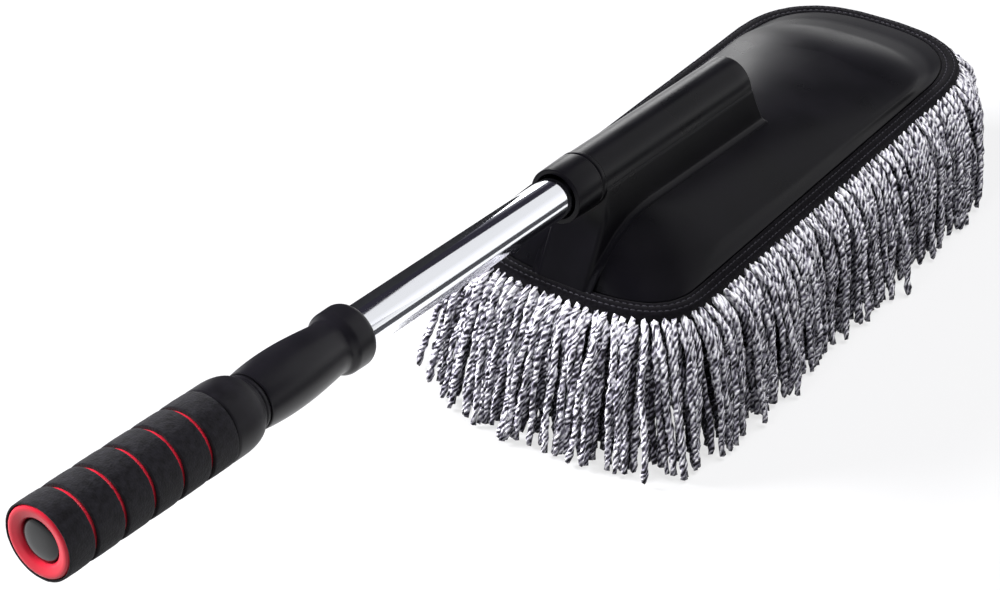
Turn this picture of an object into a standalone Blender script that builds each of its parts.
"""Telescopic car duster: a mop head on a moulded shell, with a steel handle that draws out.

The design frame has its origin in the plane of the head's bound rim, at the rim's near end.
X runs forward to the tip of the mop, Y across, Z up. The handle's own axis starts at the mouth
of the socket collar and runs rearward and slightly up. At the end the whole part is shifted so
that the mop stands on z = 0 and the middle of the overall length is at x = 0.
"""
import math

import bmesh
import bpy
from mathutils import Matrix, Vector

CLEARANCE = 0.0003
OVERRUN = 0.002
TOUCH = 0.000001

# Mop head outline, measured over the binding
HEAD_LENGTH = 0.302
HEAD_WIDTH = 0.119
NEAR_ROUND = 0.040
FAR_ROUND = 0.058
NEAR_SQUARENESS = 2.9
FAR_SQUARENESS = 2.6
END_STEPS = 7
SIDE_STEPS = 4

# Binding round the rim
BINDING_TOP = 0.0015
BINDING_WIDTH = 0.0085
BINDING_WALL = 0.0016
BINDING_SKIRT = 0.0074
BINDING_FILLET = 0.0012

# Moulded shell of the head
FLANGE_THICK = 0.0027
SHELL_WALL = 0.0024
CREASE_NEAR_INSET = 0.0115
CREASE_FAR_INSET = 0.034
CREASE_SIDE_INSET = 0.0130
CREASE_NEAR_ROUND = 0.058
CREASE_NEAR_SQUARENESS = 2.3
CREASE_TAPER_SHARE = 0.07
CREASE_NEAR_HEIGHT = 0.0100
CREASE_FAR_HEIGHT = 0.0055
CREASE_FILLET = 0.0030
CROWN_NEAR_HEIGHT = 0.0255
CROWN_FAR_HEIGHT = 0.0120
SPINE_NEAR_INSET = 0.048
SPINE_FAR_INSET = 0.068
SPINE_HALF_WIDTH = 0.004
CROWN_STEPS = 4
RIB_THICK = 0.0018
RIB_SPREAD = 0.028
CROSS_RIB_SHARES = (0.13, 0.285, 0.44, 0.60, 0.76)

# Handle axis and socket
AXIS_TILT = math.radians(3.85)
MOUTH_OVERHANG = 0.002
MOUTH_HEIGHT = 0.0484
SOCKET_RADIUS = 0.0127
SOCKET_LENGTH = 0.146
SOCKET_FOOT_HALF_WIDTH = 0.0136
SOCKET_FOOT_DEPTH = 0.0360
SOCKET_HEEL_DEPTH = 0.0290
SOCKET_NEAR_SLANT_SHARE = 0.45
SOCKET_FAR_SLANT_SHARE = 0.62
SOCKET_ARC_STEPS = 16
SPIGOT_RADIUS = 0.0114
SPIGOT_SETBACK = 0.0030
COLLAR_RADIUS = 0.0136
COLLAR_BEAD = 0.0005
COLLAR_BEAD_LENGTH = 0.0026
COLLAR_LENGTH = 0.0244
COLLAR_LIP = 0.0022
HEEL_TAB_LENGTH = 0.0075
HEEL_TAB_HALF_WIDTH = 0.0062
HEEL_TAB_THICK = 0.0100

# Tubes
INNER_TUBE_RADIUS = 0.0095
OUTER_TUBE_RADIUS = 0.01075
INNER_TUBE_WALL = 0.0006
OUTER_TUBE_WALL = 0.0005
TUBE_IN_SOCKET = 0.128
EXPOSED_TUBE = 0.1355

# Screws that pin the tube in the socket
SCREW_RADIUS = 0.0015
SCREW_HEAD_RADIUS = 0.0031
SCREW_HEAD_HEIGHT = 0.0020
SCREW_REACH = 0.0030
SCREW_PLACES = (0.062, 0.108)

# Lock sleeve, the black barrel that is twisted to clamp the tube
SLEEVE_LENGTH = 0.0615
SLEEVE_FLANGE_RADIUS = 0.0136
SLEEVE_FLANGE_LENGTH = 0.0125
SLEEVE_NECK_RADIUS = 0.0111
SLEEVE_BELLY_RADIUS = 0.0132
SLEEVE_TAIL_RADIUS = 0.0121
SLEEVE_LIP = 0.0016
SLEEVE_BORE_CLEARANCE = 0.0004
SLEEVE_CURVE_STEPS = 7
BELLY_PEAK_SHARE = 0.62
COLLET_LENGTH = 0.0105
COLLET_FRONT_RADIUS = 0.0115
COLLET_REAR_RADIUS = 0.0102
COLLET_SLIT = math.radians(14)
THREAD_BUSH_LENGTH = 0.0100
THREAD_BUSH_RADIUS = 0.0119
THREAD_BUSH_SETBACK = 0.0150

# Nose cap of the grip
NOSE_GAP = 0.0006
NOSE_LENGTH = 0.0222
NOSE_NECK_RADIUS = 0.0116
NOSE_NECK_LENGTH = 0.0036
NOSE_CURVE_STEPS = 5

# Grip
GRIP_LENGTH = 0.0887
GRIP_RADIUS = 0.0157
BAND_COUNT = 6
GROOVE_WIDTH = 0.0021
BAND_FILLET = 0.0011
CORE_RADIUS = 0.0132
END_RING_RADIUS = 0.0146
END_RING_HOLE = 0.0090
END_RING_THICK = 0.0034
END_RING_FILLET = 0.0007
END_SPIGOT_LENGTH = 0.0085
END_PLUG_DOME = 0.0022
END_PLUG_SETBACK = 0.0026
END_PLUG_LENGTH = 0.0090
DOME_STEPS = 5
GUIDE_LENGTH = 0.0090
GUIDE_FLANGE = 0.0025
GUIDE_BORE = 0.0060

# Soft parts under the shell
PAD_THICK = 0.0042
CLOTH_THICK = 0.0015
SOFT_EDGE_INSET = 0.0022
BACKING_THICK = 0.0036
BACKING_EDGE_INSET = 0.0010
BACKING_CHAMFER = 0.0052
BACKING_WIDTH = 0.0160
BACKING_SHOULDER = 0.0012

# Tassels
TASSEL_DROP = 0.070
STATION_COUNT = 124
STRAND_RADIUS = 0.0021
OUTER_FLARE = 0.0240
INNER_FLARE = 0.0130
NEAR_FLARE_GAIN = 0.0040
END_RAGGED = 0.0070
STRAND_STEPS = 3
LONG_STRAND_COUNT = 3
UNDER_CELL = 0.0148
UNDER_NEAR_INSET = 0.0290
UNDER_FAR_INSET = 0.0355
UNDER_SIDE_INSET = 0.0220
END_SLICE_SHARE = 0.115
NEAR_SLICE_SHARE = 0.105

SCATTER_SHARE = 0.618
SALT_SHARE = 0.377

ROUND_SIDES = 28
SMALL_SIDES = 12

FLOOR = -TASSEL_DROP
HALF_WIDTH = HEAD_WIDTH / 2
SOCKET_BODY_START = COLLAR_LENGTH + CLEARANCE
INNER_BORE = INNER_TUBE_RADIUS + CLEARANCE
OUTER_TUBE_BORE = OUTER_TUBE_RADIUS - OUTER_TUBE_WALL
SLEEVE_FRONT = EXPOSED_TUBE
SLEEVE_REAR = SLEEVE_FRONT + SLEEVE_LENGTH
NOSE_FRONT = SLEEVE_REAR + NOSE_GAP
GRIP_FRONT = NOSE_FRONT + NOSE_LENGTH
GRIP_REAR = GRIP_FRONT + GRIP_LENGTH
END_RING_FRONT = GRIP_REAR - END_RING_THICK
OUTER_TUBE_FRONT = SLEEVE_FRONT + SLEEVE_FLANGE_LENGTH + COLLET_LENGTH
OUTER_TUBE_REAR = END_RING_FRONT - CLEARANCE
INNER_TUBE_REAR = OUTER_TUBE_REAR - END_SPIGOT_LENGTH - GUIDE_FLANGE - CLEARANCE - TOUCH
PAD_TOP = -FLANGE_THICK - CLEARANCE
PAD_BOTTOM = PAD_TOP - PAD_THICK
CLOTH_TOP = min(PAD_BOTTOM, -BINDING_SKIRT) - CLEARANCE
CLOTH_BOTTOM = CLOTH_TOP - CLOTH_THICK
BACKING_TOP = CLOTH_BOTTOM - CLEARANCE
BACKING_BOTTOM = BACKING_TOP - BACKING_THICK
UNDER_COLUMNS = int((HEAD_LENGTH - UNDER_NEAR_INSET - UNDER_FAR_INSET) / UNDER_CELL)
UNDER_ROWS = int((HEAD_WIDTH - 2 * UNDER_SIDE_INSET) / UNDER_CELL)


def clear_scene():
    for item in list(bpy.data.objects):
        bpy.data.objects.remove(item, do_unlink=True)


def make_material(name, colour, roughness, metallic=0.0):
    material = bpy.data.materials.new(name)
    material.use_nodes = True
    shader = material.node_tree.nodes["Principled BSDF"]
    shader.inputs["Base Color"].default_value = (*colour, 1.0)
    shader.inputs["Roughness"].default_value = roughness
    shader.inputs["Metallic"].default_value = metallic
    return material


def make_materials():
    return {
        "gloss_black": make_material("gloss_black", (0.012, 0.012, 0.016), 0.22),
        "satin_black": make_material("satin_black", (0.018, 0.018, 0.021), 0.38),
        "chrome": make_material("chrome", (0.86, 0.87, 0.89), 0.06, 1.0),
        "zinc": make_material("zinc", (0.55, 0.55, 0.57), 0.35, 1.0),
        "foam_black": make_material("foam_black", (0.020, 0.022, 0.024), 0.85),
        "red": make_material("red", (0.62, 0.02, 0.03), 0.38),
        "grey_plug": make_material("grey_plug", (0.10, 0.10, 0.11), 0.25),
        "nylon": make_material("nylon", (0.62, 0.61, 0.57), 0.50),
        "binding_black": make_material("binding_black", (0.010, 0.010, 0.011), 0.80),
        "pad_foam": make_material("pad_foam", (0.30, 0.30, 0.32), 0.95),
        "base_cloth": make_material("base_cloth", (0.12, 0.12, 0.13), 0.90),
        "yarn": make_material("yarn", (0.42, 0.41, 0.44), 0.95),
    }


def finish_mesh(name, mesh_data, material, parent, matrix=None, smooth_angle=35.0):
    """Turn a bmesh into a named object on its parent, with its faces pointing out."""
    bmesh.ops.remove_doubles(mesh_data, verts=mesh_data.verts, dist=TOUCH)
    bmesh.ops.recalc_face_normals(mesh_data, faces=mesh_data.faces)
    mesh = bpy.data.meshes.new(name)
    mesh_data.to_mesh(mesh)
    mesh_data.free()
    mesh.materials.append(material)
    mesh.shade_smooth()
    mesh.set_sharp_from_angle(angle=math.radians(smooth_angle))
    item = bpy.data.objects.new(name, mesh)
    bpy.context.scene.collection.objects.link(item)
    item.parent = parent
    if matrix is not None:
        item.matrix_local = matrix
    return item


def make_empty(name, parent=None, matrix=None):
    item = bpy.data.objects.new(name, None)
    bpy.context.scene.collection.objects.link(item)
    item.parent = parent
    if matrix is not None:
        item.matrix_local = matrix
    return item


def turned(name, profile, material, parent, sides=ROUND_SIDES, slit=0.0):
    """Spin a closed profile of (distance along Z, radius) pairs about the parent's Z axis."""
    mesh_data = bmesh.new()
    corners = [mesh_data.verts.new((radius, 0.0, along)) for along, radius in profile]
    edges = []
    for first, second in zip(corners, corners[1:] + corners[:1]):
        if first.co.x > 0 or second.co.x > 0:
            edges.append(mesh_data.edges.new((first, second)))
    if slit > 0:
        mesh_data.faces.new(corners)
    spun = bmesh.ops.spin(
        mesh_data,
        geom=corners + edges,
        axis=(0.0, 0.0, 1.0),
        angle=2 * math.pi - slit,
        steps=sides,
        use_merge=slit == 0,
    )
    if slit > 0:
        last_edges = [item for item in spun["geom_last"] if isinstance(item, bmesh.types.BMEdge)]
        bmesh.ops.contextual_create(mesh_data, geom=last_edges)
    return finish_mesh(name, mesh_data, material, parent)


def lofted(name, loops, material, parent, matrix=None, cap_ends=True):
    """Skin a stack of closed loops, each with as many points as the last."""
    mesh_data = bmesh.new()
    rings = [[mesh_data.verts.new(point) for point in loop] for loop in loops]
    count = len(loops[0])
    pairs = list(zip(rings, rings[1:]))
    if cap_ends:
        mesh_data.faces.new(rings[0])
        mesh_data.faces.new(rings[-1])
    else:
        pairs.append((rings[-1], rings[0]))
    for first, second in pairs:
        for index in range(count):
            following = (index + 1) % count
            corners = (first[index], first[following], second[following], second[index])
            mesh_data.faces.new(corners)
    bmesh.ops.triangulate(mesh_data, faces=mesh_data.faces)
    return finish_mesh(name, mesh_data, material, parent, matrix)


def box_solid(name, low, high, parent):
    """A box between two opposite corners, for cutters and plain blocks."""
    low, high = Vector(low), Vector(high)
    mesh_data = bmesh.new()
    bmesh.ops.create_cube(mesh_data, size=1.0)
    bmesh.ops.scale(mesh_data, vec=high - low, verts=mesh_data.verts)
    bmesh.ops.translate(mesh_data, vec=(low + high) / 2, verts=mesh_data.verts)
    return finish_mesh(name, mesh_data, MATERIALS["gloss_black"], parent)


def mark_cutter(item):
    item.hide_render = True
    item.display_type = "WIRE"
    return item


def combine(item, other, operation):
    modifier = item.modifiers.new(operation.lower() + "_" + other.name, "BOOLEAN")
    modifier.operation = operation
    modifier.solver = "EXACT"
    modifier.object = mark_cutter(other)


def power(value, exponent):
    return math.copysign(abs(value) ** exponent, value)


def outline(near_x, far_x, half_width, near_round, far_round, taper=0.0, near=NEAR_SQUARENESS):
    """Closed outline of the head in plan, from the right side of the far end round to the left."""
    far_centre = far_x - far_round
    near_centre = near_x + near_round
    points = []
    for step in range(2 * END_STEPS + 1):
        angle = math.pi / 2 * (step / END_STEPS - 1)
        x = far_centre + far_round * power(math.cos(angle), 2 / FAR_SQUARENESS)
        points.append((x, half_width * power(math.sin(angle), 2 / FAR_SQUARENESS)))
    for step in range(1, SIDE_STEPS):
        x = far_centre + (near_centre - far_centre) * step / SIDE_STEPS
        points.append((x, half_width))
    for step in range(2 * END_STEPS + 1):
        angle = math.pi / 2 * (1 + step / END_STEPS)
        x = near_centre + near_round * power(math.cos(angle), 2 / near)
        points.append((x, half_width * power(math.sin(angle), 2 / near)))
    for step in range(1, SIDE_STEPS):
        x = near_centre + (far_centre - near_centre) * step / SIDE_STEPS
        points.append((x, -half_width))
    middle = (near_x + far_x) / 2
    half_length = (far_x - near_x) / 2
    return [(x, y * (1 + taper * (x - middle) / half_length)) for x, y in points]


def inset_outline(inset):
    far_x = HEAD_LENGTH - inset
    return outline(inset, far_x, HALF_WIDTH - inset, NEAR_ROUND - inset, FAR_ROUND - inset)


def at_height(points, height):
    return [(x, y, height) for x, y in points]


def crease_outline(inset):
    """The soft edge where the shell's steep side turns into its crowned deck."""
    near_x = CREASE_NEAR_INSET + inset
    far_x = HEAD_LENGTH - CREASE_FAR_INSET - inset
    half_width = HALF_WIDTH - CREASE_SIDE_INSET - inset
    near_round = CREASE_NEAR_ROUND - inset
    far_round = FAR_ROUND - CREASE_SIDE_INSET - inset
    taper, near = CREASE_TAPER_SHARE, CREASE_NEAR_SQUARENESS
    return outline(near_x, far_x, half_width, near_round, far_round, taper, near)


def spine_outline():
    near_x = SPINE_NEAR_INSET
    far_x = HEAD_LENGTH - SPINE_FAR_INSET
    return outline(near_x, far_x, SPINE_HALF_WIDTH, SPINE_HALF_WIDTH, SPINE_HALF_WIDTH)


def slope_height(x, near_x, far_x, near_height, far_height):
    return near_height + (far_height - near_height) * (x - near_x) / (far_x - near_x)


def crease_height(x):
    far_x = HEAD_LENGTH - CREASE_FAR_INSET
    return slope_height(x, CREASE_NEAR_INSET, far_x, CREASE_NEAR_HEIGHT, CREASE_FAR_HEIGHT)


def spine_height(x):
    far_x = HEAD_LENGTH - SPINE_FAR_INSET
    return slope_height(x, SPINE_NEAR_INSET, far_x, CROWN_NEAR_HEIGHT, CROWN_FAR_HEIGHT)


def crown_loops(inset, drop):
    """Loops of the crowned deck from its crease up to the spine."""
    edge = crease_outline(inset + CREASE_FILLET)
    spine = spine_outline()
    loops = []
    for step in range(CROWN_STEPS + 1):
        share = step / CROWN_STEPS
        rise = 1 - (1 - share) ** 2
        loop = []
        for (edge_x, edge_y), (spine_x, spine_y) in zip(edge, spine):
            x = edge_x + (spine_x - edge_x) * share
            y = edge_y + (spine_y - edge_y) * share
            low = crease_height(edge_x)
            high = spine_height(spine_x)
            loop.append((x, y, low + (high - low) * rise - drop))
        loops.append(loop)
    return loops


def crease_loop(inset, below):
    return [(x, y, crease_height(x) - below) for x, y in crease_outline(inset)]


def build_head_shell(head, axis):
    """The moulded shell: bound flange, steep side, crowned deck, ribs, and the tube socket."""
    black = MATERIALS["gloss_black"]
    wall_foot = BINDING_WIDTH + CLEARANCE
    loops = [
        at_height(inset_outline(BINDING_WALL + CLEARANCE), -FLANGE_THICK),
        at_height(inset_outline(BINDING_WALL + CLEARANCE), 0.0),
        at_height(inset_outline(wall_foot), 0.0),
        at_height(inset_outline(wall_foot), BINDING_TOP),
        crease_loop(0.0, CREASE_FILLET),
    ]
    loops.extend(crown_loops(0.0, 0.0))
    shell = lofted("head_shell", loops, black, head)
    combine(shell, build_socket_block(axis), "UNION")

    hollow_foot = wall_foot + SHELL_WALL
    hollow_loops = [
        at_height(inset_outline(hollow_foot), -FLANGE_THICK - OVERRUN),
        at_height(inset_outline(hollow_foot), 0.0),
        crease_loop(SHELL_WALL, CREASE_FILLET + SHELL_WALL),
    ]
    hollow_loops.extend(crown_loops(SHELL_WALL, SHELL_WALL))
    hollow = lofted("shell_hollow", hollow_loops, black, head)
    low_z = -FLANGE_THICK - 2 * OVERRUN
    high_z = CROWN_NEAR_HEIGHT + OVERRUN
    for share in CROSS_RIB_SHARES:
        x = HEAD_LENGTH * share
        low = (x - RIB_THICK / 2, -HALF_WIDTH, low_z)
        high = (x + RIB_THICK / 2, HALF_WIDTH, high_z)
        combine(hollow, box_solid(f"cross_rib_{share:.2f}", low, high, head), "DIFFERENCE")
    for side in (-1, 1):
        y = side * RIB_SPREAD / 2
        low = (0.0, y - RIB_THICK / 2, low_z)
        high = (HEAD_LENGTH, y + RIB_THICK / 2, high_z)
        combine(hollow, box_solid(f"long_rib_{side}", low, high, head), "DIFFERENCE")
    for number, place in enumerate(SCREW_PLACES, start=1):
        combine(hollow, build_screw_well(f"screw_well_{number}", place, axis), "UNION")
    combine(shell, hollow, "DIFFERENCE")

    bore_profile = [
        (OVERRUN, 0.0),
        (OVERRUN, INNER_BORE),
        (-TUBE_IN_SOCKET - CLEARANCE, INNER_BORE),
        (-TUBE_IN_SOCKET - CLEARANCE, 0.0),
    ]
    bore = turned("tube_bore", bore_profile, black, axis)
    for number, place in enumerate(SCREW_PLACES, start=1):
        combine(bore, build_cross_hole(f"screw_hole_{number}", place, axis), "UNION")
    combine(shell, bore, "DIFFERENCE")
    return shell


def build_socket_block(axis):
    """The socket's outer body in the handle frame: a round top on walls that flare to the deck."""
    section = []
    for step in range(SOCKET_ARC_STEPS + 1):
        angle = math.pi * step / SOCKET_ARC_STEPS
        section.append((SOCKET_RADIUS * math.cos(angle), SOCKET_RADIUS * math.sin(angle)))
    knee = COLLAR_RADIUS + 2 * COLLAR_BEAD + CLEARANCE
    knee_share = knee / SOCKET_FOOT_DEPTH
    knee_half_width = SOCKET_RADIUS + (SOCKET_FOOT_HALF_WIDTH - SOCKET_RADIUS) * knee_share
    section.append((-knee_half_width, -knee))
    section.append((-SOCKET_FOOT_HALF_WIDTH, -SOCKET_FOOT_DEPTH))
    section.append((SOCKET_FOOT_HALF_WIDTH, -SOCKET_FOOT_DEPTH))
    section.append((knee_half_width, -knee))
    ends = (
        (SOCKET_BODY_START, -SOCKET_NEAR_SLANT_SHARE, knee),
        (SOCKET_LENGTH, SOCKET_FAR_SLANT_SHARE, 0.0),
    )
    mesh_data = bmesh.new()
    rings = []
    for start, slant, slant_from in ends:
        ring = []
        for across, height in section:
            forward = start + slant * max(0.0, -height - slant_from)
            ring.append(mesh_data.verts.new((height, across, -forward)))
        rings.append(ring)
    count = len(section)
    for index in range(count):
        following = (index + 1) % count
        corners = (rings[0][index], rings[0][following], rings[1][following], rings[1][index])
        mesh_data.faces.new(corners)
    for ring in rings:
        mesh_data.faces.new(ring[: SOCKET_ARC_STEPS + 1])
        mesh_data.faces.new((ring[SOCKET_ARC_STEPS], ring[-4], ring[-1], ring[0]))
        mesh_data.faces.new(ring[-4:])
    block = finish_mesh("socket_block", mesh_data, MATERIALS["gloss_black"], axis)
    spigot_profile = [
        (-SPIGOT_SETBACK, 0.0),
        (-SPIGOT_SETBACK, SPIGOT_RADIUS),
        (-SOCKET_BODY_START - OVERRUN, SPIGOT_RADIUS),
        (-SOCKET_BODY_START - OVERRUN, 0.0),
    ]
    spigot = turned("spigot", spigot_profile, MATERIALS["gloss_black"], axis)
    combine(block, spigot, "UNION")
    foot_depth = SOCKET_HEEL_DEPTH
    tab_start = SOCKET_LENGTH + SOCKET_FAR_SLANT_SHARE * foot_depth / 2
    low = (-foot_depth, -HEEL_TAB_HALF_WIDTH, -tab_start - HEEL_TAB_LENGTH)
    high = (HEEL_TAB_THICK - foot_depth + OVERRUN, HEEL_TAB_HALF_WIDTH, -tab_start + OVERRUN)
    combine(block, box_solid("heel_tab", low, high, axis), "UNION")
    return block


def build_cross_hole(name, place, axis):
    """A cutter for a screw hole from under the deck up into the tube bore."""
    radius = SCREW_RADIUS + CLEARANCE
    profile = [
        (-SOCKET_FOOT_DEPTH - OVERRUN, 0.0),
        (-SOCKET_FOOT_DEPTH - OVERRUN, radius),
        (-INNER_TUBE_RADIUS / 2, radius),
        (-INNER_TUBE_RADIUS / 2, 0.0),
    ]
    hole = turned(name, profile, MATERIALS["zinc"], axis, SMALL_SIDES)
    hole.matrix_local = cross_matrix(place)
    return hole


def screw_seat(place):
    """Level of the screw head's seat under the deck, measured from the handle axis."""
    return -deck_drop_below_axis(place) - SHELL_WALL - CLEARANCE


def build_screw_well(name, place, axis):
    """A cutter that keeps the ribs clear of a screw head and of the driver that reaches it."""
    radius = SCREW_HEAD_RADIUS + 2 * CLEARANCE
    seat = screw_seat(place)
    foot = seat - SOCKET_FOOT_DEPTH
    profile = [(foot, 0.0), (foot, radius), (seat, radius), (seat, 0.0)]
    well = turned(name, profile, MATERIALS["zinc"], axis, SMALL_SIDES)
    well.matrix_local = cross_matrix(place)
    return well


def cross_matrix(place):
    """Local Z turned to the handle frame's upward direction, at a place inside the socket."""
    return Matrix.Translation((0.0, 0.0, -place)) @ Matrix.Rotation(math.pi / 2, 4, "Y")


def build_socket_parts(axis):
    black = MATERIALS["gloss_black"]
    bore = SPIGOT_RADIUS + CLEARANCE
    bead = COLLAR_RADIUS + COLLAR_BEAD
    collar = [
        (0.0, INNER_BORE),
        (0.0, COLLAR_RADIUS - COLLAR_BEAD),
        (-COLLAR_BEAD, bead),
        (-COLLAR_BEAD_LENGTH, bead),
        (-COLLAR_BEAD_LENGTH - COLLAR_BEAD, COLLAR_RADIUS),
        (-COLLAR_LENGTH + COLLAR_BEAD, COLLAR_RADIUS),
        (-COLLAR_LENGTH, COLLAR_RADIUS - COLLAR_BEAD),
        (-COLLAR_LENGTH, bore),
        (-COLLAR_LIP, bore),
        (-COLLAR_LIP, INNER_BORE),
    ]
    turned("socket_collar", collar, black, axis)
    tube = [
        (INNER_TUBE_REAR, INNER_TUBE_RADIUS - INNER_TUBE_WALL),
        (INNER_TUBE_REAR, INNER_TUBE_RADIUS),
        (-TUBE_IN_SOCKET, INNER_TUBE_RADIUS),
        (-TUBE_IN_SOCKET, INNER_TUBE_RADIUS - INNER_TUBE_WALL),
    ]
    inner_tube = turned("inner_tube", tube, MATERIALS["chrome"], axis)
    for number, place in enumerate(SCREW_PLACES, start=1):
        combine(inner_tube, build_cross_hole(f"tube_hole_{number}", place, axis), "DIFFERENCE")
        build_tube_screw(f"tube_screw_{number}", place, axis)
    build_guide_plug(axis)


def deck_drop_below_axis(place):
    """How far the deck's spine lies below the handle axis at a place inside the socket."""
    x = place * math.cos(AXIS_TILT) - MOUTH_OVERHANG
    axis_height = MOUTH_HEIGHT - place * math.sin(AXIS_TILT)
    return axis_height - spine_height(x)


def build_tube_screw(name, place, axis):
    seat = screw_seat(place)
    tip = -INNER_TUBE_RADIUS + SCREW_REACH
    profile = [
        (seat - SCREW_HEAD_HEIGHT, 0.0),
        (seat - SCREW_HEAD_HEIGHT, SCREW_HEAD_RADIUS - SCREW_RADIUS / 2),
        (seat - SCREW_HEAD_HEIGHT / 2, SCREW_HEAD_RADIUS),
        (seat, SCREW_HEAD_RADIUS),
        (seat, SCREW_RADIUS),
        (tip - SCREW_RADIUS, SCREW_RADIUS),
        (tip, 0.0),
    ]
    screw = turned(name, profile, MATERIALS["zinc"], axis, SMALL_SIDES)
    screw.matrix_local = cross_matrix(place)


def build_guide_plug(axis):
    """Plastic guide in the tube's rear end; its flange runs in the outer tube and is its stop."""
    stem = INNER_TUBE_RADIUS - INNER_TUBE_WALL - CLEARANCE
    flange = OUTER_TUBE_BORE - CLEARANCE
    seat = INNER_TUBE_REAR + CLEARANCE
    profile = [
        (seat - GUIDE_LENGTH, GUIDE_BORE),
        (seat - GUIDE_LENGTH, stem),
        (seat, stem),
        (seat, flange),
        (seat + GUIDE_FLANGE - CLEARANCE, flange),
        (seat + GUIDE_FLANGE - CLEARANCE, GUIDE_BORE),
    ]
    turned("guide_plug", profile, MATERIALS["nylon"], axis)


def collet_bore(along):
    """Radius of the sleeve's tapered seat round the collet."""
    front = SLEEVE_FRONT + SLEEVE_LIP
    share = (along - front) / COLLET_LENGTH
    return COLLET_FRONT_RADIUS + (COLLET_REAR_RADIUS - COLLET_FRONT_RADIUS) * share + CLEARANCE


def build_lock_parts(collet_body, sleeve_body):
    front = SLEEVE_FRONT + SLEEVE_LIP + CLEARANCE
    rear = front + COLLET_LENGTH - CLEARANCE
    collet = [
        (front, INNER_BORE),
        (front, COLLET_FRONT_RADIUS),
        (rear, COLLET_REAR_RADIUS),
        (rear, INNER_BORE),
    ]
    turned("split_collet", collet, MATERIALS["nylon"], collet_body, ROUND_SIDES, COLLET_SLIT)

    tube_bore = INNER_TUBE_RADIUS + SLEEVE_BORE_CLEARANCE
    wide_bore = THREAD_BUSH_RADIUS + CLEARANCE
    tail_bore = OUTER_TUBE_RADIUS + CLEARANCE
    neck = SLEEVE_FRONT + SLEEVE_FLANGE_LENGTH
    seat_front = SLEEVE_FRONT + SLEEVE_LIP
    seat_rear = seat_front + COLLET_LENGTH + CLEARANCE
    tube_stop = OUTER_TUBE_FRONT - CLEARANCE
    bush_front = OUTER_TUBE_FRONT + THREAD_BUSH_SETBACK - CLEARANCE
    bush_rear = OUTER_TUBE_FRONT + THREAD_BUSH_SETBACK + THREAD_BUSH_LENGTH + CLEARANCE
    fillet = SLEEVE_LIP
    belly = SLEEVE_REAR - neck
    sleeve = [
        (SLEEVE_FRONT, tube_bore),
        (SLEEVE_FRONT, SLEEVE_FLANGE_RADIUS - fillet),
        (SLEEVE_FRONT + fillet / 2, SLEEVE_FLANGE_RADIUS - fillet / 3),
        (SLEEVE_FRONT + fillet * 2, SLEEVE_FLANGE_RADIUS),
        (neck - fillet * 2, SLEEVE_FLANGE_RADIUS - fillet / 3),
        (neck - fillet, SLEEVE_NECK_RADIUS + fillet),
        (neck + fillet, SLEEVE_NECK_RADIUS),
    ]
    for step in range(1, SLEEVE_CURVE_STEPS):
        share = step / SLEEVE_CURVE_STEPS
        sleeve.append((neck + fillet + (belly - fillet) * share, sleeve_belly(share)))
    sleeve += [
        (SLEEVE_REAR - CLEARANCE, SLEEVE_TAIL_RADIUS),
        (SLEEVE_REAR, SLEEVE_TAIL_RADIUS - CLEARANCE),
        (SLEEVE_REAR, tail_bore),
        (bush_rear, tail_bore),
        (bush_rear, wide_bore),
        (bush_front, wide_bore),
        (bush_front, tail_bore),
        (tube_stop, tail_bore),
        (tube_stop, tube_bore),
        (seat_rear, tube_bore),
        (seat_rear, collet_bore(seat_rear)),
        (seat_front, collet_bore(seat_front)),
        (seat_front, tube_bore),
    ]
    turned("lock_sleeve", sleeve, MATERIALS["satin_black"], sleeve_body)


def sleeve_belly(share):
    """Outer radius of the sleeve between its neck and its tail, fullest behind the middle."""
    if share < BELLY_PEAK_SHARE:
        blend = math.sin(math.pi / 2 * share / BELLY_PEAK_SHARE)
        return SLEEVE_NECK_RADIUS + (SLEEVE_BELLY_RADIUS - SLEEVE_NECK_RADIUS) * blend
    blend = (share - BELLY_PEAK_SHARE) / (1 - BELLY_PEAK_SHARE)
    return SLEEVE_BELLY_RADIUS + (SLEEVE_TAIL_RADIUS - SLEEVE_BELLY_RADIUS) * blend ** 2


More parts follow.
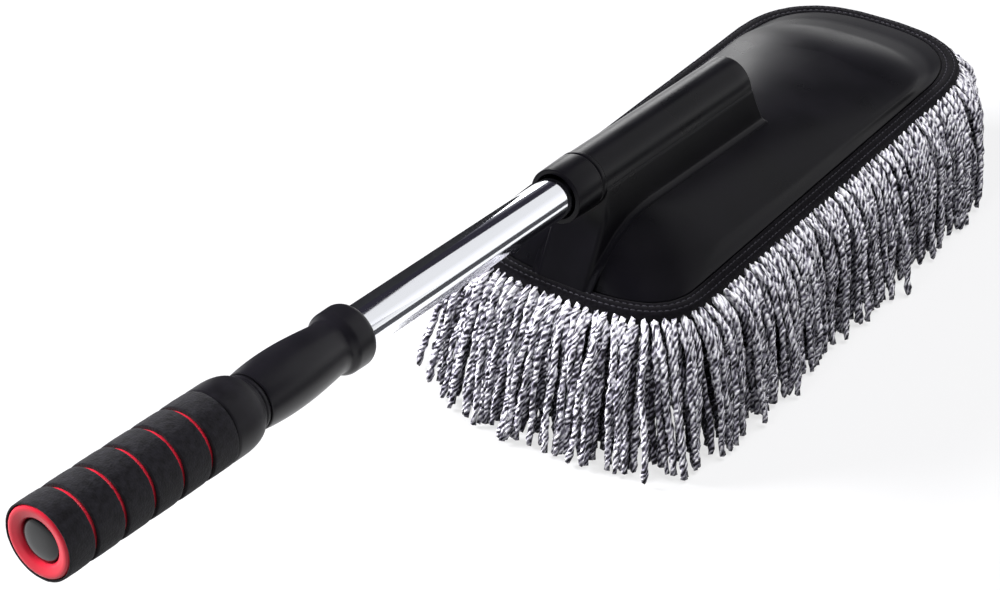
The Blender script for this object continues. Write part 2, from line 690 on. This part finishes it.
def build_handle_parts(handle_body):
    steel = MATERIALS["zinc"]
    tube = [
        (OUTER_TUBE_FRONT, OUTER_TUBE_BORE),
        (OUTER_TUBE_FRONT, OUTER_TUBE_RADIUS),
        (OUTER_TUBE_REAR, OUTER_TUBE_RADIUS),
        (OUTER_TUBE_REAR, OUTER_TUBE_BORE),
    ]
    turned("outer_tube", tube, steel, handle_body)
    over_tube = OUTER_TUBE_RADIUS + CLEARANCE
    bush_front = OUTER_TUBE_FRONT + THREAD_BUSH_SETBACK
    bush = [
        (bush_front, over_tube),
        (bush_front, THREAD_BUSH_RADIUS),
        (bush_front + THREAD_BUSH_LENGTH, THREAD_BUSH_RADIUS),
        (bush_front + THREAD_BUSH_LENGTH, over_tube),
    ]
    turned("thread_bush", bush, MATERIALS["nylon"], handle_body)

    shoulder = NOSE_FRONT + NOSE_NECK_LENGTH
    nose = [
        (NOSE_FRONT, over_tube),
        (NOSE_FRONT, NOSE_NECK_RADIUS),
        (shoulder, NOSE_NECK_RADIUS),
    ]
    shoulder_length = NOSE_LENGTH / 2
    foot = NOSE_NECK_RADIUS + CLEARANCE
    for step in range(NOSE_CURVE_STEPS + 1):
        angle = math.pi / 2 * step / NOSE_CURVE_STEPS
        along = shoulder + shoulder_length * (1 - math.cos(angle))
        nose.append((along, foot + (GRIP_RADIUS - foot) * math.sin(angle)))
    nose += [
        (GRIP_FRONT - BAND_FILLET / 2, GRIP_RADIUS),
        (GRIP_FRONT, GRIP_RADIUS - BAND_FILLET / 2),
        (GRIP_FRONT, over_tube),
    ]
    turned("grip_nose", nose, MATERIALS["foam_black"], handle_body)

    core = [
        (GRIP_FRONT + CLEARANCE, over_tube),
        (GRIP_FRONT + CLEARANCE, CORE_RADIUS),
        (OUTER_TUBE_REAR, CORE_RADIUS),
        (OUTER_TUBE_REAR, over_tube),
    ]
    turned("grip_core", core, MATERIALS["red"], handle_body)
    build_foam_bands(handle_body)
    build_grip_end(handle_body)


def build_foam_bands(handle_body):
    pitch = (GRIP_LENGTH + GROOVE_WIDTH) / BAND_COUNT
    band_bore = CORE_RADIUS + CLEARANCE
    lip_bore = END_RING_RADIUS + CLEARANCE
    for number in range(1, BAND_COUNT + 1):
        front = GRIP_FRONT + CLEARANCE + pitch * (number - 1)
        rear = front + pitch - GROOVE_WIDTH
        last = number == BAND_COUNT
        if last:
            rear = GRIP_REAR - BAND_FILLET / 2
        band = [
            (front, band_bore),
            (front, GRIP_RADIUS - BAND_FILLET),
            (front + BAND_FILLET, GRIP_RADIUS),
            (rear - BAND_FILLET, GRIP_RADIUS),
        ]
        if last:
            band += [
                (rear, lip_bore),
                (END_RING_FRONT - CLEARANCE, lip_bore),
                (END_RING_FRONT - CLEARANCE, band_bore),
            ]
        else:
            band += [(rear, GRIP_RADIUS - BAND_FILLET), (rear, band_bore)]
        turned(f"foam_band_{number}", band, MATERIALS["foam_black"], handle_body)


def build_grip_end(handle_body):
    spigot = OUTER_TUBE_BORE - CLEARANCE
    ring = [
        (OUTER_TUBE_REAR - END_SPIGOT_LENGTH, END_RING_HOLE),
        (OUTER_TUBE_REAR - END_SPIGOT_LENGTH, spigot),
        (END_RING_FRONT, spigot),
        (END_RING_FRONT, END_RING_RADIUS),
        (GRIP_REAR - END_RING_FILLET, END_RING_RADIUS),
        (GRIP_REAR, END_RING_RADIUS - END_RING_FILLET),
        (GRIP_REAR, END_RING_HOLE + END_RING_FILLET),
        (GRIP_REAR - END_RING_FILLET, END_RING_HOLE),
    ]
    turned("end_ring", ring, MATERIALS["red"], handle_body)
    plug_radius = END_RING_HOLE - CLEARANCE
    rear = GRIP_REAR - END_PLUG_SETBACK
    plug = [(rear - END_PLUG_LENGTH, 0.0), (rear - END_PLUG_LENGTH, plug_radius)]
    for step in range(DOME_STEPS):
        angle = math.pi / 2 * step / DOME_STEPS
        plug.append((rear + END_PLUG_DOME * math.sin(angle), plug_radius * math.cos(angle)))
    plug.append((rear + END_PLUG_DOME, 0.0))
    turned("end_plug", plug, MATERIALS["grey_plug"], handle_body)


def build_binding(head):
    """The bound edge: a skirt down the outside and a band turned in over the flange."""
    spots = (
        (0.0, -BINDING_SKIRT),
        (0.0, BINDING_TOP - BINDING_FILLET),
        (BINDING_FILLET, BINDING_TOP),
        (BINDING_WIDTH, BINDING_TOP),
        (BINDING_WIDTH, CLEARANCE),
        (BINDING_WALL, CLEARANCE),
        (BINDING_WALL, -BINDING_SKIRT),
    )
    loops = [at_height(inset_outline(inset), height) for inset, height in spots]
    lofted("rim_binding", loops, MATERIALS["binding_black"], head, cap_ends=False)


def build_pad_and_cloth(head):
    pad_outline = inset_outline(SOFT_EDGE_INSET)
    pad = [at_height(pad_outline, PAD_BOTTOM), at_height(pad_outline, PAD_TOP)]
    lofted("cushion_pad", pad, MATERIALS["pad_foam"], head)
    cloth_outline = inset_outline(BACKING_EDGE_INSET / 2)
    cloth = [at_height(cloth_outline, CLOTH_BOTTOM), at_height(cloth_outline, CLOTH_TOP)]
    lofted("base_cloth", cloth, MATERIALS["base_cloth"], head)


def rim_path():
    """The rim as a closed path with its running length at each point, from the far end's middle."""
    points = [Vector((x, y)) for x, y in inset_outline(0.0)]
    start = END_STEPS
    points = points[start:] + points[:start]
    lengths = [0.0]
    for first, second in zip(points, points[1:] + points[:1]):
        lengths.append(lengths[-1] + (second - first).length)
    return points, lengths


def rim_point(path, distance):
    """A point on the rim and the outward direction there."""
    points, lengths = path
    total = lengths[-1]
    distance = distance % total
    index = 0
    while lengths[index + 1] < distance:
        index += 1
    first = points[index]
    second = points[(index + 1) % len(points)]
    share = (distance - lengths[index]) / (lengths[index + 1] - lengths[index])
    before = points[index - 1]
    after = points[(index + 2) % len(points)]
    start_way = (second - before).normalized()
    end_way = (after - first).normalized()
    way = start_way.lerp(end_way, share).normalized()
    return first.lerp(second, share), Vector((way.y, -way.x))


def scatter(number, salt):
    """A fixed value between 0 and 1 that looks irregular from one strand to the next."""
    return (number * SCATTER_SHARE + salt * SALT_SHARE) % 1.0


def strand_ring(centre, lateral, way, radius):
    """Three corners of a strand's section, square to its own direction."""
    other = way.cross(lateral).normalized()
    corners = []
    for corner in range(3):
        angle = math.pi / 2 + 2 * math.pi * corner / 3
        corners.append(centre + (lateral * math.cos(angle) + other * math.sin(angle)) * radius)
    return corners


def grow_strand(mesh_data, quad, lateral, outward, flare, drop, steps):
    """Grow one three-sided strand out of a four-cornered face of its backing."""
    centre = sum((vertex.co for vertex in quad), Vector()) / len(quad)
    rings = []
    for step in range(steps + 1):
        share = step / steps
        spread = flare * (1 - (1 - share) ** 2)
        place = centre + outward * spread + Vector((0.0, 0.0, -drop * share))
        slope = outward * (2 * flare * (1 - share)) + Vector((0.0, 0.0, -drop))
        corners = strand_ring(place, lateral, slope.normalized(), STRAND_RADIUS)
        if step == 0:
            normal = (quad[1].co - quad[0].co).cross(quad[2].co - quad[1].co).normalized()
            corners = [corner - normal * (corner - centre).dot(normal) for corner in corners]
        if step == steps:
            corners = [Vector((corner.x, corner.y, place.z)) for corner in corners]
        rings.append([mesh_data.verts.new(corner) for corner in corners])
    join_root(mesh_data, quad, rings[0])
    for first, second in zip(rings, rings[1:]):
        for index in range(3):
            following = (index + 1) % 3
            mesh_data.faces.new((first[index], first[following], second[following], second[index]))
    mesh_data.faces.new(rings[-1])


def join_root(mesh_data, quad, root):
    """Fill the backing's face round a strand's root, pairing each corner with its nearest."""
    middle = sum((vertex.co for vertex in quad), Vector()) / len(quad)
    normal = (quad[1].co - quad[0].co).cross(quad[2].co - quad[1].co).normalized()
    base = (quad[0].co - middle).normalized()
    side = normal.cross(base)

    def bearing(vertex):
        offset = vertex.co - middle
        return math.atan2(offset.dot(side), offset.dot(base)) % (2 * math.pi)

    outer = sorted(quad, key=bearing)
    inner = sorted(root, key=bearing)
    outer_bearings = [bearing(vertex) for vertex in outer] + [2 * math.pi]
    inner_bearings = [bearing(vertex) for vertex in inner]
    outer_bearings += [value + 2 * math.pi for value in outer_bearings[1:4]]
    inner_bearings += [inner_bearings[0] + 2 * math.pi]
    outer_index, inner_index = 0, 0
    while outer_index < 4 or inner_index < 3:
        next_outer = outer_bearings[outer_index + 1] if outer_index < 4 else math.inf
        next_inner = inner_bearings[inner_index + 1] if inner_index < 3 else math.inf
        here_outer = outer[outer_index % 4]
        here_inner = inner[inner_index % 3]
        if next_outer - TOUCH <= next_inner:
            mesh_data.faces.new((here_outer, outer[(outer_index + 1) % 4], here_inner))
            outer_index += 1
        else:
            mesh_data.faces.new((here_outer, inner[(inner_index + 1) % 3], here_inner))
            inner_index += 1


def near_gain(outward):
    """The tassels at the near end stand out a little further than those of the sides."""
    return NEAR_FLARE_GAIN * max(0.0, -outward.x)


def strand_drop(number, salt, root_height, ragged):
    """Length of fall from a root; one strand in a few reaches down to where the mop stands."""
    lift = 0.0 if number % LONG_STRAND_COUNT == 0 else ragged * scatter(number, salt)
    return root_height - FLOOR - lift


def build_edge_tassels(name, first_station, last_station, path, head):
    """A slice of the edge backing with its two rows of strands."""
    pitch = path[1][-1] / STATION_COUNT
    section = (
        (BACKING_EDGE_INSET, BACKING_TOP),
        (BACKING_EDGE_INSET, BACKING_TOP - BACKING_SHOULDER),
        (BACKING_EDGE_INSET + BACKING_CHAMFER, BACKING_BOTTOM),
        ((BACKING_EDGE_INSET + BACKING_CHAMFER + BACKING_WIDTH) / 2, BACKING_BOTTOM),
        (BACKING_WIDTH, BACKING_BOTTOM),
        (BACKING_WIDTH, BACKING_TOP),
    )
    mesh_data = bmesh.new()
    stations = []
    for station in range(first_station, last_station + 1):
        distance = station * pitch
        if station == first_station:
            distance += CLEARANCE / 2
        if station == last_station:
            distance -= CLEARANCE / 2
        spot, outward = rim_point(path, distance)
        ring = []
        for inset, height in section:
            place = spot - outward * inset
            ring.append(mesh_data.verts.new((place.x, place.y, height)))
        stations.append(ring)
    mesh_data.faces.new(stations[0])
    mesh_data.faces.new(stations[-1])
    count = len(section)
    outer_row_face, inner_row_face = 1, 2
    for offset, (ring, following_ring) in enumerate(zip(stations, stations[1:])):
        station = first_station + offset
        turn_number = station % STATION_COUNT
        mirror_number = min(turn_number, STATION_COUNT - 1 - turn_number)
        outward = rim_point(path, station * pitch + pitch / 2)[1].to_3d()
        lateral = Vector((-outward.y, outward.x, 0.0))
        for index in range(count):
            following = (index + 1) % count
            quad = (ring[index], ring[following], following_ring[following], following_ring[index])
            if index == outer_row_face:
                root_height = (BACKING_TOP - BACKING_SHOULDER + BACKING_BOTTOM) / 2
                drop = strand_drop(mirror_number, 1, root_height, END_RAGGED)
                flare = OUTER_FLARE + near_gain(outward)
                grow_strand(mesh_data, quad, lateral, outward, flare, drop, STRAND_STEPS)
            elif index == inner_row_face:
                drop = strand_drop(mirror_number, 2, BACKING_BOTTOM, END_RAGGED / 2)
                flare = INNER_FLARE + near_gain(outward) / 2
                grow_strand(mesh_data, quad, lateral, outward, flare, drop, STRAND_STEPS - 1)
            else:
                mesh_data.faces.new(quad)
    finish_mesh(name, mesh_data, MATERIALS["yarn"], head)


def build_under_tassels(head):
    """The middle of the backing with its grid of straight strands."""
    along = Vector((1.0, 0.0, 0.0))
    across = Vector((0.0, 1.0, 0.0))
    drop = BACKING_BOTTOM - FLOOR
    mesh_data = bmesh.new()
    grid = []
    for column in range(UNDER_COLUMNS + 1):
        x = UNDER_NEAR_INSET + UNDER_CELL * column
        line = []
        for row in range(UNDER_ROWS + 1):
            y = UNDER_CELL * (row - UNDER_ROWS / 2)
            line.append(mesh_data.verts.new((x, y, BACKING_BOTTOM)))
        grid.append(line)
    for column in range(UNDER_COLUMNS):
        for row in range(UNDER_ROWS):
            near_pair = grid[column][row:row + 2]
            far_pair = grid[column + 1][row:row + 2]
            quad = (near_pair[0], near_pair[1], far_pair[1], far_pair[0])
            grow_strand(mesh_data, quad, across, along, 0.0, drop, 1)
    border = []
    border += [grid[column][0] for column in range(UNDER_COLUMNS)]
    border += [grid[UNDER_COLUMNS][row] for row in range(UNDER_ROWS)]
    border += [grid[column][UNDER_ROWS] for column in range(UNDER_COLUMNS, 0, -1)]
    border += [grid[0][row] for row in range(UNDER_ROWS, 0, -1)]
    top = [mesh_data.verts.new((vertex.co.x, vertex.co.y, BACKING_TOP)) for vertex in border]
    for index in range(len(border)):
        following = (index + 1) % len(border)
        mesh_data.faces.new((border[index], border[following], top[following], top[index]))
    mesh_data.faces.new(top)
    finish_mesh("tassels_under", mesh_data, MATERIALS["yarn"], head)


def build_tassels(head):
    path = rim_path()
    far_end = round(STATION_COUNT * END_SLICE_SHARE)
    near_start = round(STATION_COUNT * (0.5 - NEAR_SLICE_SHARE))
    near_end = STATION_COUNT - near_start
    build_edge_tassels("tassels_far", -far_end, far_end, path, head)
    build_edge_tassels("tassels_left", far_end, near_start, path, head)
    build_edge_tassels("tassels_near", near_start, near_end, path, head)
    build_edge_tassels("tassels_right", near_end, STATION_COUNT - far_end, path, head)
    build_under_tassels(head)


def centre_on_length(head):
    """Shift the part so that the middle of its overall length is at x = 0."""
    bpy.context.view_layer.update()
    reach = []
    for item in bpy.data.objects:
        if item.type == "MESH" and not item.hide_render:
            reach.extend((item.matrix_world @ vertex.co).x for vertex in item.data.vertices)
    head.location.x -= (min(reach) + max(reach)) / 2
    bpy.context.view_layer.update()


def axis_matrix():
    """Local Z runs rearward along the handle, local X points up, local Y across."""
    rearward = Vector((-math.cos(AXIS_TILT), 0.0, math.sin(AXIS_TILT)))
    upward = Vector((math.sin(AXIS_TILT), 0.0, math.cos(AXIS_TILT)))
    across = rearward.cross(upward)
    turn = Matrix((upward, across, rearward)).transposed().to_4x4()
    return Matrix.Translation((-MOUTH_OVERHANG, 0.0, MOUTH_HEIGHT)) @ turn


clear_scene()
MATERIALS = make_materials()
head = make_empty("head_frame", matrix=Matrix.Translation((0.0, 0.0, TASSEL_DROP)))
axis = make_empty("handle_axis", head, axis_matrix())
collet_body = make_empty("telescope_slide", axis)
handle_body = make_empty("handle_turn_axis", collet_body)
sleeve_body = make_empty("lock_twist_axis", handle_body)
build_head_shell(head, axis)
build_socket_parts(axis)
build_binding(head)
build_pad_and_cloth(head)
build_tassels(head)
build_lock_parts(collet_body, sleeve_body)
build_handle_parts(handle_body)
centre_on_length(head)
